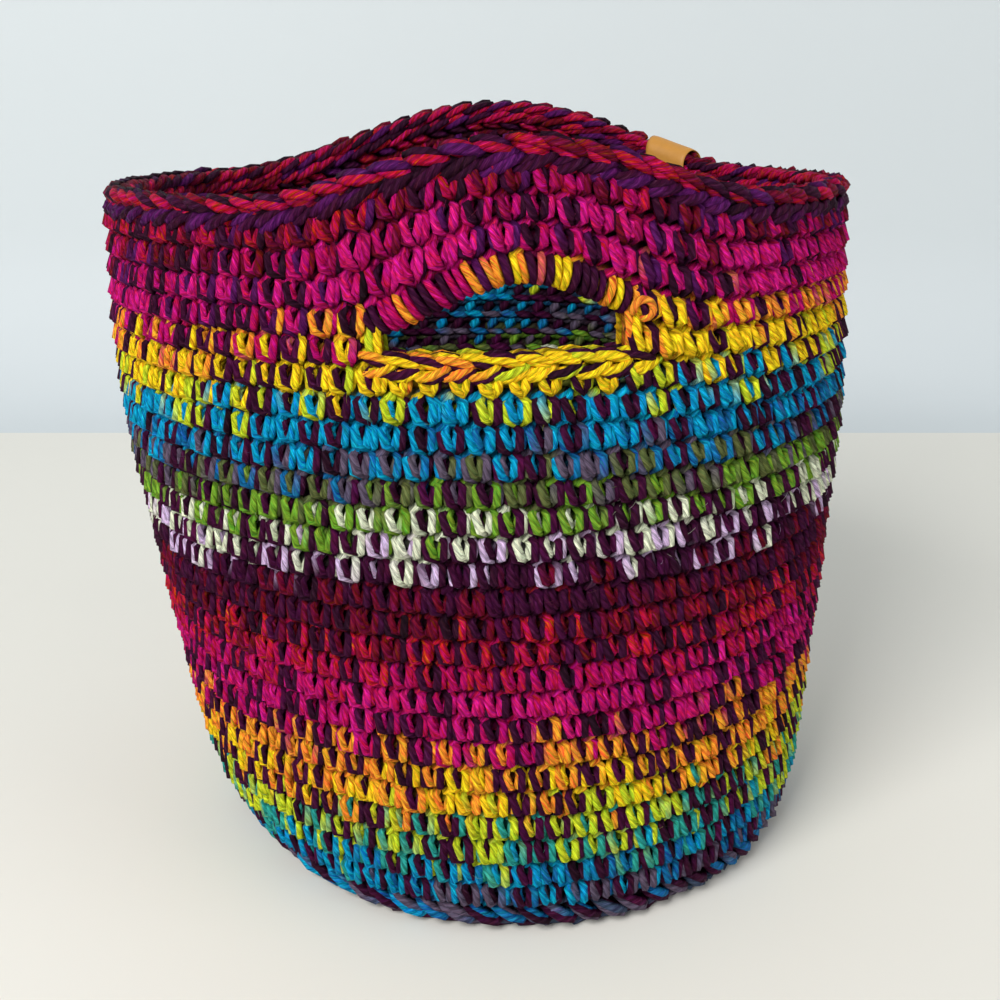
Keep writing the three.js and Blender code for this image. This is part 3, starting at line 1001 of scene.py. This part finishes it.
@dataclass
class Rim(Crochet):
    """The braid along the rim: two legs of a chain outside, one on top and one inside."""

    strand_radius: float = 1.42
    bundle_radius: float = 1.25
    link: float = 10.4
    upper_drop: float = 3.9
    lower_drop: float = 8.6
    core_radius: float = 3.2
    core_drop: float = 6.0
    core_inset: float = 4.9
    fibre_climb: float = 0.3
    turn_spread: float = 0.7
    legs: tuple[ChainLeg, ...] = (
        ChainLeg(RIM_UPPER, True, 0.2, -0.4, -1.9, kinds=2),
        ChainLeg(RIM_LOWER, False, -0.5, 1.0, -1.5, (2, 2, 0)),
        ChainLeg(RIM_INSIDE, True, 0.1, -1.6, -8.3, (2, 0, 1), 3),
        ChainLeg(RIM_INSIDE, False, -0.4, -1.6, -8.8, (2, 0, 1), 3),
    )
    fibre_rings: tuple[tuple[int, float], ...] = ((4, -1.2), (3, -5.4))

    def parts(self) -> list[Strands]:
        """All strands of the rim."""
        count = round(2 * math.pi * self.form.rim_radius / self.link)
        pitch = 360 / count
        azimuth = np.arange(count) * pitch - 180
        number = self.form.round_count + 1.0

        def upper(at: Array, up: Array) -> Array:
            """Way up the outline, with up in mm above the middle of the upper chain."""
            return self.form.rim_height(at) - self.upper_drop + up

        def lower(at: Array, up: Array) -> Array:
            """Way up the outline, with up in mm above the middle of the lower chain."""
            return self.form.rim_height(at) - self.lower_drop + up

        def loose(at: Array, up: Array) -> Array:
            """Way up the outline of a loose fibre, which lies nearly along the rim."""
            return upper(at, self.fibre_climb * up)

        groups = []
        for leg in self.legs:
            groups += self.bundles(
                leg.bend,
                azimuth,
                pitch,
                upper if leg.upper else lower,
                number + leg.dye,
                leg.strands,
                (leg.turn, self.turn_spread),
                out=leg.out,
                kinds=leg.kinds,
            )
        groups.append(self.core(pitch))
        for each, out in self.fibre_rings:
            groups.append(self.fibres(np.repeat(azimuth, each), loose, number, out))
        return groups

    def core(self, pitch: float) -> Strands:
        """The loops inside the rim, as one ring."""
        at = np.arange(-180.0, 180.0 + pitch, pitch)[None, :]
        # Painted shade: the plum of the loops inside the rim is darkened because they lie in shade.
        plain = linear(Dye.PLUM.value) * self.core_painted_shade * np.ones((*at.shape, 3))
        way = self.form.rim_height(at) - self.core_drop
        return self.lay(at, way, 0 * at - self.core_inset, 0 * at + self.core_radius, plain, 5)


@dataclass
class HandOpenings(Crochet):
    """The two hand openings: the chain along each sill, the wrapped arch and the upright ends.

    A size whose name starts with sill, wrap, end or curl belongs to that part. Lengths are in mm, dyes in
    rounds, turns in radians, or in half turns for the curl, and spreads are of random numbers.
    """

    link: float = 8.3
    wraps_per_opening: int = 32
    wrap_slant: float = 0.28
    wrap_fatness: float = 1.15
    wrap_drop: float = 0.6
    wrap_dye: float = -0.2
    wrap_drift: float = 0.045
    end_rounds: tuple[float, ...] = (22.0, 21.3, 22.1, 20.6, 21.0)
    end_offsets: tuple[float, ...] = (0.0, 1.05, 0.1, 0.8, 0.0)
    end_outs: tuple[float, ...] = (-1.5, -1.3, -4.4, -6.4, -8.0)
    curl_radius: float = 3.1
    curl_azimuth: float = 17.2
    curl_height: float = 11.0
    curl_round: float = 22.4
    curl_turns: tuple[float, float] = (-0.55, 1.2)
    curl_points: int = 14
    curl_out: float = 1.0
    curl_dive: float = 3.2
    curl_fatness: float = 1.1
    curl_taper: float = 0.3
    sill_sag: float = 0.9
    sill_sag_azimuth: float = -6.0
    sill_dye: float = -1.2
    sill_out: float = -0.8
    sill_turns: tuple[float, float, float] = (-0.3, 0.6, -1.6)
    sill_spreads: tuple[float, float, float] = (0.8, 0.8, 0.5)
    sill_inside: tuple[tuple[Bend, float], ...] = (
        (SILL_UPPER, -4.0),
        (SILL_UPPER, -7.4),
        (SILL_LOWER, -7.4),
    )
    wrap_margin: float = 1.4
    wrap_points: int = 15
    wrap_proud: tuple[float, float] = (0.35, 0.5)
    wrap_spreads: tuple[float, float, float] = (0.5, 0.1, 0.04)
    wrap_fat_spread: float = 0.07
    wrap_dye_spread: float = 0.8
    wrap_follow: float = 0.15
    # Depth below the crest that every wrap gets for the painted shade, which then darkens the wraps only a
    # little.
    wrap_depth: float = 0.4
    end_margin: float = 0.35
    end_bow: float = 0.25
    end_low: float = -4.5
    end_dive: float = 1.2
    end_dye_spread: float = 0.4
    end_taper: tuple[float, ...] = (0.8, 1.15, 1.25, 1.15, 0.8)

    def sill(self, middle: float) -> list[Strands]:
        """The loose chain along the lower edge of one opening."""
        half = self.form.sill_half_angle
        pitch = self.link / self.form.mm_per_degree
        azimuth = middle + np.arange(-half + pitch / 2, half, pitch)

        def height(at: Array, up: Array) -> Array:
            """Way up the outline, with up in mm above the middle of the chain and a little sag."""
            turned = at - middle - self.sill_sag_azimuth
            sag = self.sill_sag * np.cos(np.radians(turned * 90 / half)) ** 2
            return self.form.sill_top - self.form.sill_braid_height / 2 - sag + up

        number = self.form.wrap_round + self.sill_dye
        upper, lower, inner = zip(self.sill_turns, self.sill_spreads)
        groups = [
            *self.bundles(SILL_UPPER, azimuth, pitch, height, number, turn=upper, out=self.sill_out),
            *self.bundles(SILL_LOWER, azimuth, pitch, height, number, turn=lower, out=self.sill_out),
        ]
        for bend, out in self.sill_inside:
            groups += self.bundles(bend, azimuth, pitch, height, number, (0, 1), inner, out=out)
        return groups

    def wraps(self, middle: float) -> list[Strands]:
        """The strands that wrap the arch, each a closed oval loop square to it."""
        edge = self.form.opening_half_angle + self.wrap_margin
        first = middle + np.linspace(-edge, edge, self.wraps_per_opening)
        count, points = len(first), self.wrap_points
        turn = np.linspace(0, 2 * math.pi, points)
        push = self.chance.normal(0, 1, (3, count, 1))
        slant, place, depth = self.wrap_spreads
        high, deep = self.wrap_proud
        half_height = self.form.wrap_half_height - self.strand_radius + high - self.wrap_drop
        half_depth = self.form.wall_thickness / 2 - self.strand_radius + deep
        arch = self.form.row_height(first, np.full(count, float(self.form.wrap_round)))
        rise = np.gradient(arch, first)[:, None]
        lean = -half_height * rise / self.form.mm_per_degree**2 - self.wrap_slant * (1 + slant * push[0])
        at = first[:, None] + place * push[1] + lean * np.cos(turn)
        centre = arch[:, None] - self.wrap_drop + rise * (at - first[:, None]) * self.wrap_follow
        way = centre + half_height * np.cos(turn)
        out = -self.form.wall_thickness / 2 + half_depth * np.sin(turn) * (1 + depth * push[2])
        fatness = self.wrap_fatness * (1 + self.wrap_fat_spread * push[2])
        radius = self.strand_radius * fatness * np.ones(at.shape)
        kind = self.chance.integers(0, 3, (count, 1)) * np.ones(points, dtype=int)
        chance = self.chance.normal(0, self.wrap_dye_spread, (count, 1)) * np.ones(points)
        number = self.form.wrap_round + self.wrap_dye - self.wrap_drift * (at - middle)
        colour = self.dyeing.colours(number, at - self.form.opening_azimuth, kind, chance)
        strands = self.lay(at, way, out, radius, colour)
        beside = unit(self.form.lay(at + 0.1, way, out) - strands.points)
        return [Strands(strands.points, beside, radius, 0 * way + self.wrap_depth, colour, 5)]

    def ends(self, middle: float) -> list[Strands]:
        """Upright strands that close the wall's thickness at both ends of one opening."""
        groups = []
        for side in (-1, 1):
            edge = middle + side * (self.form.opening_half_angle + self.end_margin)
            share = np.linspace(0, 1, len(self.end_taper))
            bow = self.end_bow * np.sin(math.pi * share)
            at = edge + side * (np.array(self.end_offsets)[:, None] + bow)
            top = self.form.row_height(at, np.full(at.shape, float(self.form.wrap_round)))
            low = self.form.sill_top + self.end_low
            way = low + (top - low) * share
            out = np.array(self.end_outs)[:, None] - self.end_dive * np.abs(share - 0.5) * 2
            number = np.array(self.end_rounds)[:, None] + min(side, 0) + 0 * at
            chance = self.chance.normal(0, self.end_dye_spread, (len(at), 1)) + 0 * at
            colour = self.dyeing.colours(number, 0 * at, np.zeros(at.shape, dtype=int), chance)
            radius = self.strand_radius * np.array(self.end_taper) * np.ones((len(at), 1))
            groups.append(self.lay(at, way, out, radius, colour))
        return groups

    def curl(self, middle: float) -> Strands:
        """The loop that curls over the wall beside the right end of an opening, as most of a ring."""
        turn = np.linspace(*self.curl_turns, self.curl_points)[None, :] * math.pi
        share = np.abs(np.linspace(-1, 1, self.curl_points))
        at = middle + self.curl_azimuth + self.curl_radius * np.cos(turn) / self.form.mm_per_degree
        way = self.form.sill_top + self.curl_height + self.curl_radius * np.sin(turn)
        out = self.curl_out - self.curl_dive * share**4 + 0 * at
        thick = self.strand_radius * self.curl_fatness * (1 - self.curl_taper * share**6) + 0 * at
        number = np.full(at.shape, self.curl_round)
        colour = self.dyeing.colours(number, 0 * at, np.zeros(at.shape, dtype=int), 0 * at)
        return self.lay(at, way, out, thick, colour, 6)

    def parts(self) -> list[Strands]:
        """All strands of both openings."""
        return [
            part for middle in self.form.opening_middles
            for part in (*self.sill(middle), *self.wraps(middle), *self.ends(middle), self.curl(middle))
        ]


class NodeTree:
    """Short ways to add nodes to a shader's tree."""

    def __init__(self, tree: bpy.types.NodeTree) -> None:
        """Keeps the tree and removes what it holds."""
        self.tree = tree
        self.tree.nodes.clear()

    def add(self, kind: str, **settings: object) -> bpy.types.Node:
        """Adds a node of a kind and sets its properties."""
        node = self.tree.nodes.new(kind)
        for name, value in settings.items():
            setattr(node, name, value)
        return node

    def put(self, socket: bpy.types.NodeSocket, value: object) -> None:
        """Links a socket into another, or sets the other's value."""
        if isinstance(value, bpy.types.NodeSocket):
            self.tree.links.new(value, socket)
        else:
            socket.default_value = value

    def math(self, operation: str, a: object, b: object = 0.0, c: object = 0.0) -> bpy.types.NodeSocket:
        """Adds a Math node and returns its output."""
        node = self.add("ShaderNodeMath", operation=operation)
        for socket, value in zip(node.inputs, (a, b, c)):
            self.put(socket, value)
        return node.outputs[0]

    def mix(self, blend: str, factor: object, a: object, b: object) -> bpy.types.NodeSocket:
        """Adds a colour mix and returns its output."""
        node = self.add("ShaderNodeMix", data_type="RGBA", blend_type=blend)
        self.put(node.inputs[0], factor)
        self.put(node.inputs[6], a)
        self.put(node.inputs[7], b)
        return node.outputs[2]

    def noise(self, vector: object, scale: float, detail: float = 2.0) -> bpy.types.NodeSocket:
        """Adds a noise texture and returns its value."""
        node = self.add("ShaderNodeTexNoise")
        self.put(node.inputs["Vector"], vector)
        self.put(node.inputs["Scale"], scale)
        self.put(node.inputs["Detail"], detail)
        return node.outputs[0]


class TwistGroup:
    """Shader group for twisted fibre: it turns yarn coordinates into plies and fine uneven fibres."""

    SIZES = (
        ("Fibres", 4.6),
        ("Turn length", 11.0),
        ("Fibre length", 2.2),
        ("Plies", 3.0),
        ("Ply share", 0.4),
    )

    STREAKS = (0.38, 0.64)
    HUE_SCALE = 0.45

    def __init__(self) -> None:
        """Builds the group once.

        The angle round the strand turns evenly along it. Fibres are a noise on that twisted cylinder,
        drawn out along it, and plies are sin(plies angle). Hue is a slower noise of the same kind.
        """
        tree = bpy.data.node_groups.new("Twisted fibre", "ShaderNodeTree")
        face = tree.interface
        face.new_socket("Yarn coordinates", in_out="INPUT", socket_type="NodeSocketVector")
        for name, value in self.SIZES:
            socket = face.new_socket(name, in_out="INPUT", socket_type="NodeSocketFloat")
            socket.default_value = value
        face.new_socket("Height", in_out="OUTPUT", socket_type="NodeSocketFloat")
        face.new_socket("Fibre", in_out="OUTPUT", socket_type="NodeSocketFloat")
        face.new_socket("Hue", in_out="OUTPUT", socket_type="NodeSocketFloat")
        n = NodeTree(tree)
        given = n.add("NodeGroupInput").outputs
        split = n.add("ShaderNodeSeparateXYZ")
        n.put(split.inputs[0], given["Yarn coordinates"])
        around, along = split.outputs[0], split.outputs[1]
        turns = n.math("ADD", around, n.math("DIVIDE", along, given["Turn length"]))
        angle = n.math("MULTIPLY", turns, 2 * math.pi)
        place = n.add("ShaderNodeCombineXYZ")
        n.put(place.inputs[0], n.math("MULTIPLY", n.math("COSINE", angle), given["Fibres"]))
        n.put(place.inputs[1], n.math("MULTIPLY", n.math("SINE", angle), given["Fibres"]))
        n.put(place.inputs[2], n.math("DIVIDE", along, given["Fibre length"]))
        streak = n.add("ShaderNodeMapRange")
        n.put(streak.inputs[0], n.noise(place.outputs[0], 1.0, 2.0))
        n.put(streak.inputs[1], self.STREAKS[0])
        n.put(streak.inputs[2], self.STREAKS[1])
        fibre = streak.outputs[0]
        wave = n.math("SINE", n.math("MULTIPLY", angle, given["Plies"]))
        ply = n.math("MULTIPLY_ADD", wave, 0.5, 0.5)
        above = n.math("SUBTRACT", ply, fibre)
        mixed = n.math("MULTIPLY_ADD", above, given["Ply share"], fibre)
        out = n.add("NodeGroupOutput")
        n.put(out.inputs["Height"], mixed)
        # Fibre is the same pattern as Height; the yarn finish turns it into fibre tone, painted shade in
        # the ply grooves and painted highlight on the ridges.
        n.put(out.inputs["Fibre"], mixed)
        n.put(out.inputs["Hue"], n.noise(place.outputs[0], self.HUE_SCALE, 2.0))
        self.tree = tree


@dataclass(frozen=True)
class YarnFinish:
    """Matt wool and acrylic yarn with its fibres showing."""

    name: str = "crochet yarn"
    roughness: float = 0.6
    specular: float = 0.06
    # dark and light scale the dye along the fibre pattern: partly the yarn's uneven fibre tone, partly
    # painted shade in the grooves between plies and painted highlight on their ridges.
    dark: float = 0.34
    light: float = 1.6
    # How much the brightest fibre crests are mixed towards a pale colour, as a painted highlight.
    painted_highlight: float = 0.016
    hue_spread: float = 0.2
    hue_bias: float = 0.005
    # The pale colour of that painted highlight.
    painted_highlight_colour: tuple[float, float, float, float] = (0.85, 0.8, 0.85, 1.0)
    fibre_depth: float = 0.6
    bump: float = 0.9

    def build(self, twist: TwistGroup) -> bpy.types.Material:
        """Makes the material. Dye and painted shade come from the mesh, fibre tone and painted light from
        the fibres.
        """
        material = bpy.data.materials.new(self.name)
        material.use_nodes = True
        n = NodeTree(material.node_tree)
        shader = n.add("ShaderNodeBsdfPrincipled")
        out = n.add("ShaderNodeOutputMaterial")
        # The Dye attribute carries the dye with the painted shade already in it.
        dye = n.add("ShaderNodeAttribute", attribute_name="Dye")
        place = n.add("ShaderNodeUVMap", uv_map="Yarn")
        fibres = n.add("ShaderNodeGroup", node_tree=twist.tree)
        n.put(fibres.inputs["Yarn coordinates"], place.outputs[0])
        # The fibre pattern scales the dye: partly uneven fibre tone, partly painted shade in the ply
        # grooves and painted highlight on the ridges.
        gain = n.add("ShaderNodeMapRange")
        n.put(gain.inputs[0], fibres.outputs["Fibre"])
        n.put(gain.inputs[3], self.dark)
        n.put(gain.inputs[4], self.light)
        scaled = n.add("ShaderNodeVectorMath", operation="SCALE")
        heather = n.add("ShaderNodeHueSaturation")
        least = 0.5 - self.hue_spread / 2 - self.hue_bias
        hue = n.math("MULTIPLY_ADD", fibres.outputs["Hue"], self.hue_spread, least)
        n.put(heather.inputs["Hue"], hue)
        n.put(heather.inputs["Color"], dye.outputs["Color"])
        n.put(scaled.inputs[0], heather.outputs[0])
        n.put(scaled.inputs["Scale"], gain.outputs[0])
        # Painted highlight: the brightest fibre crests are mixed towards a pale colour.
        crest = n.math("MULTIPLY", n.math("POWER", fibres.outputs["Fibre"], 4.0), self.painted_highlight)
        n.put(shader.inputs["Base Color"], n.mix("MIX", crest, scaled.outputs[0], self.painted_highlight_colour))
        n.put(shader.inputs["Roughness"], self.roughness)
        n.put(shader.inputs["Specular IOR Level"], self.specular)
        bump = n.add("ShaderNodeBump")
        n.put(bump.inputs["Strength"], self.bump)
        n.put(bump.inputs["Distance"], self.fibre_depth * METRE)
        n.put(bump.inputs["Height"], fibres.outputs["Height"])
        n.put(shader.inputs["Normal"], bump.outputs[0])
        n.put(out.inputs[0], shader.outputs[0])
        return material


@dataclass(frozen=True)
class LabelStrip:
    """The strip that is folded over the rim, with the driving dimensions of its CAD solid."""

    form: BagForm
    azimuth: float = 137.6
    width: float = 24.0
    leg: float = 19.0
    thickness: float = 1.0
    bend: float = 6.0
    gap: float = 0.5
    gap_above: float = 0.8
    edge: float = 0.35
    across_steps: int = 12
    leg_steps: int = 5
    bend_steps: int = 18

    def rings(self) -> Array:
        """One ring of points round the strip's own section for each step along it.

        On the legs a point goes straight down. On the bend it is middle + (half + extra) cos(turn) from
        the axis, and (bend + extra) sin(turn) above the start of the bend. The extra is 0 on the face
        that touches the rim and the strip's thickness on the other, less near the strip's edges.
        """
        form = self.form
        outside = float(form.wall_radius(np.array(form.rim_top))) + form.rim_proud
        outer, inner = outside + self.gap, outside - form.rim_thickness - self.gap
        middle, half = (outer + inner) / 2, (outer - inner) / 2
        down = np.linspace(self.leg - self.bend, 0, self.leg_steps, endpoint=False)
        turn = np.concatenate([0 * down, np.linspace(0, math.pi, self.bend_steps), 0 * down + math.pi])
        drop = np.concatenate([down, np.zeros(self.bend_steps), down[::-1]])
        across = np.linspace(-1, 1, self.across_steps + 1)
        soft = self.edge * across**8
        share = np.concatenate([across, across[::-1]])
        extra = np.concatenate([self.thickness - soft, soft])
        azimuth = self.azimuth + np.degrees(self.width / 2 / outside) * share + 0 * turn[:, None]
        radius = middle + (half + extra) * np.cos(turn)[:, None]
        top = form.rim_height(azimuth) + self.gap_above
        height = top - self.bend + (self.bend + extra) * np.sin(turn)[:, None] - drop[:, None]
        return form.place(azimuth, radius, height)

    def build(self, material: bpy.types.Material) -> bpy.types.Object:
        """Makes the strip's mesh in place of its solid."""
        places = self.rings()
        rings, sides = places.shape[:2]
        quads, ends = YarnPiece.faces(1, rings, sides)
        corners = np.concatenate([quads.reshape(-1), ends.reshape(-1)])
        sizes = np.concatenate([np.full(quads.size // 4, 4), np.full(2, sides)])
        mesh = bpy.data.meshes.new("label_strip")
        fill_mesh(mesh, places.reshape(-1, 3), corners, sizes)
        mesh.materials.append(material)
        strip = bpy.data.objects.new("label_strip", mesh)
        bpy.context.scene.collection.objects.link(strip)
        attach(strip, "root")
        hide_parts("label")
        log.info("label_strip: %d rings of %d points", rings, sides)
        return strip


@dataclass(frozen=True)
class PlainFinish:
    """A simple finish with a fine mottle, and a grain that stands out by some millimetres."""

    name: str
    colour: tuple[float, float, float]
    roughness: float = 0.6
    mottle: float = 0.06
    scale: float = 60.0
    grain: float = 0.0
    grain_scale: float = 900.0

    def build(self) -> bpy.types.Material:
        """Makes the material on Object coordinates."""
        material = bpy.data.materials.new(self.name)
        material.use_nodes = True
        n = NodeTree(material.node_tree)
        shader = n.add("ShaderNodeBsdfPrincipled")
        out = n.add("ShaderNodeOutputMaterial")
        place = n.add("ShaderNodeTexCoord")
        spots = n.noise(place.outputs["Object"], self.scale, 3.0)
        base = linear(self.colour)
        dark = (*(base * (1 - self.mottle)), 1)
        lit = (*np.minimum(base * (1 + self.mottle), 1), 1)
        n.put(shader.inputs["Base Color"], n.mix("MIX", spots, dark, lit))
        n.put(shader.inputs["Roughness"], self.roughness)
        if self.grain:
            bump = n.add("ShaderNodeBump")
            n.put(bump.inputs["Distance"], self.grain * METRE)
            n.put(bump.inputs["Height"], n.noise(place.outputs["Object"], self.grain_scale, 3.0))
            n.put(shader.inputs["Normal"], bump.outputs[0])
        n.put(out.inputs[0], shader.outputs[0])
        return material


@dataclass(frozen=True)
class Lamp:
    """A square soft lamp: its place in metres, the side of its square in metres and its watts."""

    name: str
    place: tuple[float, float, float]
    size: float
    power: float
    aim: tuple[float, float, float] = (0.0, 0.0, 0.13)

    def build(self) -> None:
        """Makes the lamp, which faces its aim."""
        data = bpy.data.lights.new(self.name, "AREA")
        data.size = self.size
        data.energy = self.power
        lamp = bpy.data.objects.new(self.name, data)
        lamp.location = self.place
        away = np.array(self.place) - np.array(self.aim)
        length = float(np.linalg.norm(away))
        lamp.rotation_euler = (math.acos(away[2] / length), 0, math.atan2(away[1], away[0]) + math.pi / 2)
        bpy.context.scene.collection.objects.link(lamp)


@dataclass(frozen=True)
class Studio:
    """Camera, pale floor with a backdrop, and plain soft light. Its lengths are in mm."""

    camera_place: tuple[float, float, float] = (8.517, -523.71, 294.83)
    pitch: float = 18.24
    lens: float = 45.79
    sensor: float = 36.0
    floor_colour: tuple[int, int, int] = (228, 225, 216)
    backdrop_colour: tuple[int, int, int] = (206, 212, 214)
    world_light: float = 0.42
    world_seen: float = 0.8
    floor_back: float = 560.0
    bend: float = 160.0
    half_width: float = 3000.0
    floor_front: float = -2500.0
    backdrop_rise: tuple[float, float] = (100.0, 2600.0)
    world_colour: tuple[float, float, float, float] = (0.86, 0.9, 0.94, 1.0)
    lamps: tuple[Lamp, ...] = (
        Lamp("key", (-0.9, -1.5, 1.5), 1.0, 48),
        Lamp("fill", (1.5, -0.8, 0.9), 1.2, 8),
    )

    def camera(self) -> None:
        """Makes the camera of the photograph and takes it into use."""
        data = bpy.data.cameras.new("camera")
        data.lens = self.lens
        data.sensor_width = self.sensor
        data.clip_start = 0.01
        eye = bpy.data.objects.new("camera", data)
        eye.location = np.array(self.camera_place) * METRE
        eye.rotation_euler = (math.pi / 2 - math.radians(self.pitch), 0, 0)
        bpy.context.scene.collection.objects.link(eye)
        bpy.context.scene.camera = eye

    def sheet(self, name: str, y: Array, z: Array, colour: tuple[int, int, int]) -> None:
        """Makes a wide sheet of the stage, which runs from left to right along a line given by y and z."""
        across = np.linspace(-self.half_width, self.half_width, 13)
        grid_x, grid_y = np.meshgrid(across, y)
        grid_z = np.repeat(z[:, None], len(across), axis=1)
        places = np.stack([grid_x, grid_y, grid_z], axis=-1).reshape(-1, 3)
        rows, columns = grid_x.shape
        r, c = np.meshgrid(np.arange(rows - 1), np.arange(columns - 1), indexing="ij")
        first = r * columns + c
        corners = np.stack([first, first + 1, first + columns + 1, first + columns], axis=-1)
        mesh = bpy.data.meshes.new(name)
        fill_mesh(mesh, places, corners.reshape(-1), np.full(corners.size // 4, 4))
        sheet = bpy.data.objects.new(name, mesh)
        bpy.context.scene.collection.objects.link(sheet)
        mesh.materials.append(PlainFinish(f"pale {name}", colour, 0.7, 0.01, 3.0).build())

    def floor_and_backdrop(self) -> None:
        """Makes the warm pale floor, and the cooler backdrop that curves up from its back edge."""
        y = np.linspace(self.floor_front, self.floor_back, 20)
        self.sheet("floor", y, 0 * y, self.floor_colour)
        turn = np.linspace(0, math.pi / 2, 10)
        bend_y = self.floor_back + self.bend * np.sin(turn)
        bend_z = self.bend * (1 - np.cos(turn))
        rise = self.bend + np.linspace(*self.backdrop_rise, 6)
        y = np.concatenate([bend_y, 0 * rise + self.floor_back + self.bend])
        z = np.concatenate([bend_z, rise])
        self.sheet("backdrop", y, z, self.backdrop_colour)

    def lights(self) -> None:
        """Makes the lamps, and an even pale world that the camera sees lighter than it shines."""
        for lamp in self.lamps:
            lamp.build()
        world = bpy.data.worlds.new("pale room")
        world.use_nodes = True
        n = NodeTree(world.node_tree)
        back = n.add("ShaderNodeBackground")
        path = n.add("ShaderNodeLightPath")
        seen = n.math("MAXIMUM", path.outputs["Is Camera Ray"], path.outputs["Is Glossy Ray"])
        seen = n.math("MAXIMUM", seen, path.outputs["Is Transmission Ray"])
        n.put(back.inputs[0], self.world_colour)
        more = self.world_seen - self.world_light
        n.put(back.inputs[1], n.math("MULTIPLY_ADD", seen, more, self.world_light))
        out = n.add("ShaderNodeOutputWorld")
        n.put(out.inputs[0], back.outputs[0])
        bpy.context.scene.world = world
        bpy.context.scene.view_settings.view_transform = "Standard"


def main() -> None:
    """Builds the studio and every piece of the bag, and reports each."""
    logging.basicConfig(level=logging.INFO, format="%(message)s")
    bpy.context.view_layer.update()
    studio = Studio()
    studio.camera()
    studio.floor_and_backdrop()
    studio.lights()
    form = BagForm()
    fabric = Fabric(form, Dyeing())
    yarn = YarnFinish().build(TwistGroup())
    painted_shade = PaintedShade()
    bands = {
        "wall_bottom": range(0, 6),
        "wall_low": range(6, 11),
        "wall_middle": range(11, 16),
        "wall_high": range(16, 22),
        "wall_top": range(22, 27),
    }
    for name, numbers in bands.items():
        YarnPiece(name, fabric.rounds(numbers)).build(yarn, painted_shade)
    YarnPiece("base", [*fabric.rounds(range(-12, 0)), *fabric.knot()]).build(yarn, painted_shade)
    YarnPiece("rim", Rim(form, Dyeing()).parts()).build(yarn, painted_shade)
    YarnPiece("hand_openings", HandOpenings(form, Dyeing()).parts()).build(yarn, painted_shade)
    tan = PlainFinish("tan strip", (182, 126, 44), roughness=0.55, mottle=0.14, scale=220.0, grain=0.12)
    LabelStrip(form).build(tan.build())
    thread = PlainFinish("brown thread", (92, 52, 34), roughness=0.8).build()
    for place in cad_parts["label_thread"].material_slots:
        place.material = thread


if __name__ == "__main__":
    main()
